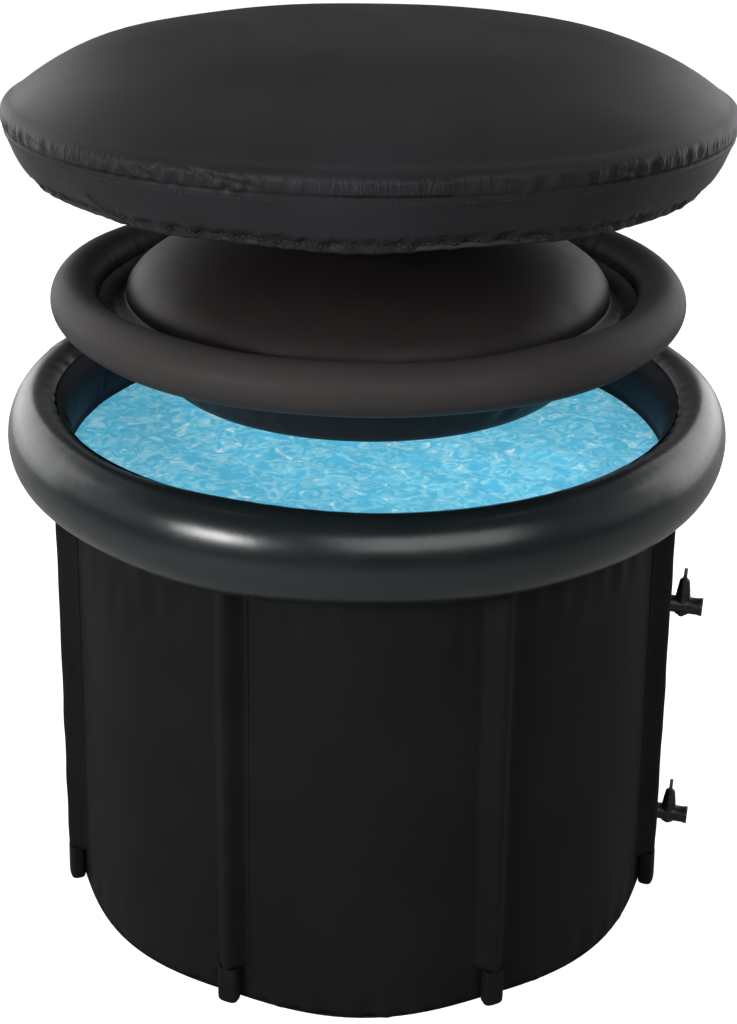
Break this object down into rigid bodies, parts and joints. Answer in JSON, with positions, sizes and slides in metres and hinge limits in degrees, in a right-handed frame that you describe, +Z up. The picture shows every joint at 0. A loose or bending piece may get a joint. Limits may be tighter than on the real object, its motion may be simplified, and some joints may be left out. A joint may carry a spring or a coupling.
{
  "type": "cold plunge tub",
  "caption": "Portable insulated cold plunge tub: pole-stiffened soft wall, inflated rim, drain taps, float-in inflatable lid and elasticated cover, shown with lid and cover lifted off.",
  "frame": {"origin": "on the floor, on the tub's axis", "axes": "+Z up along the tub's axis, -Y towards the front, +X towards the drain taps"},
  "size_m": [0.94, 0.94, 1.151],
  "materials": {
    "shell_cloth": "matte coated tarpaulin",
    "liner_film": "satin film",
    "foam": "closed-cell foam",
    "rim_film": "satin inflated film",
    "pole_plastic": "extruded tube",
    "boot_rubber": "moulded",
    "tap_plastic": "moulded",
    "gasket_rubber": "moulded",
    "lid_film": "satin inflated film",
    "cover_cloth": "woven nylon",
    "elastic": "woven elastic",
    "stopper_plastic": "moulded"
  },
  "bodies": {
    "tub": {"outer_shell": "shell_cloth", "wall_foam": "foam", "inner_liner": "liner_film", "base_panel": "shell_cloth", "base_foam": "foam", "outer_collar": "shell_cloth", "inner_collar": "liner_film", "air_rim": "rim_film", "rim_stopper_neck": "stopper_plastic", "pole_1": "pole_plastic", "pole_2": "pole_plastic", "pole_3": "pole_plastic", "pole_4": "pole_plastic", "pole_5": "pole_plastic", "pole_6": "pole_plastic", "pole_7": "pole_plastic", "pole_8": "pole_plastic", "pole_sleeve_1": "shell_cloth", "pole_sleeve_2": "shell_cloth", "pole_sleeve_3": "shell_cloth", "pole_sleeve_4": "shell_cloth", "pole_sleeve_5": "shell_cloth", "pole_sleeve_6": "shell_cloth", "pole_sleeve_7": "shell_cloth", "pole_sleeve_8": "shell_cloth", "foot_boot_1": "boot_rubber", "foot_boot_2": "boot_rubber", "foot_boot_3": "boot_rubber", "foot_boot_4": "boot_rubber", "foot_boot_5": "boot_rubber", "foot_boot_6": "boot_rubber", "foot_boot_7": "boot_rubber", "foot_boot_8": "boot_rubber", "upper_tap_barrel": "tap_plastic", "upper_tap_gasket": "gasket_rubber", "upper_tap_washer": "gasket_rubber", "upper_tap_lock_nut": "tap_plastic", "lower_tap_barrel": "tap_plastic", "lower_tap_gasket": "gasket_rubber", "lower_tap_washer": "gasket_rubber", "lower_tap_lock_nut": "tap_plastic"},
    "lid": {"lid_ring": "lid_film", "lid_pillow": "lid_film", "lid_web": "lid_film", "lid_stopper_neck": "stopper_plastic"},
    "cover": {"cover_top": "cover_cloth", "cover_skirt": "cover_cloth", "cover_hem_elastic": "elastic"},
    "rim_stopper": {"rim_stopper": "stopper_plastic"},
    "lid_stopper": {"lid_stopper": "stopper_plastic"},
    "upper_tap_cock": {"upper_tap_plug": "tap_plastic", "upper_tap_handle": "tap_plastic"},
    "lower_tap_cock": {"lower_tap_plug": "tap_plastic", "lower_tap_handle": "tap_plastic"}
  },
  "joints": [
    {"name": "lid_lift", "type": "slide", "parent": "tub", "child": "lid", "axis": [0, 0, 1], "range_m": [-0.099, 0.35]},
    {"name": "cover_lift", "type": "slide", "parent": "lid", "child": "cover", "axis": [0, 0, 1], "range_m": [-0.184, 0.25]},
    {"name": "upper_tap_turn", "type": "hinge", "parent": "tub", "child": "upper_tap_cock", "pos_m": [0.42592, -0.11413, 0.424], "axis": [0, 0, 1], "range_deg": [0, 90]},
    {"name": "lower_tap_turn", "type": "hinge", "parent": "tub", "child": "lower_tap_cock", "pos_m": [0.44072, -0.11809, 0.083], "axis": [0, 0, 1], "range_deg": [0, 90]},
    {"name": "rim_stopper_pull", "type": "slide", "parent": "tub", "child": "rim_stopper", "axis": [0, 0.6244, -0.7811], "range_m": [0, 0.016]},
    {"name": "lid_stopper_pull", "type": "slide", "parent": "lid", "child": "lid_stopper", "axis": [0, 0.2731, 0.962], "range_m": [0, 0.016]}
  ]
}
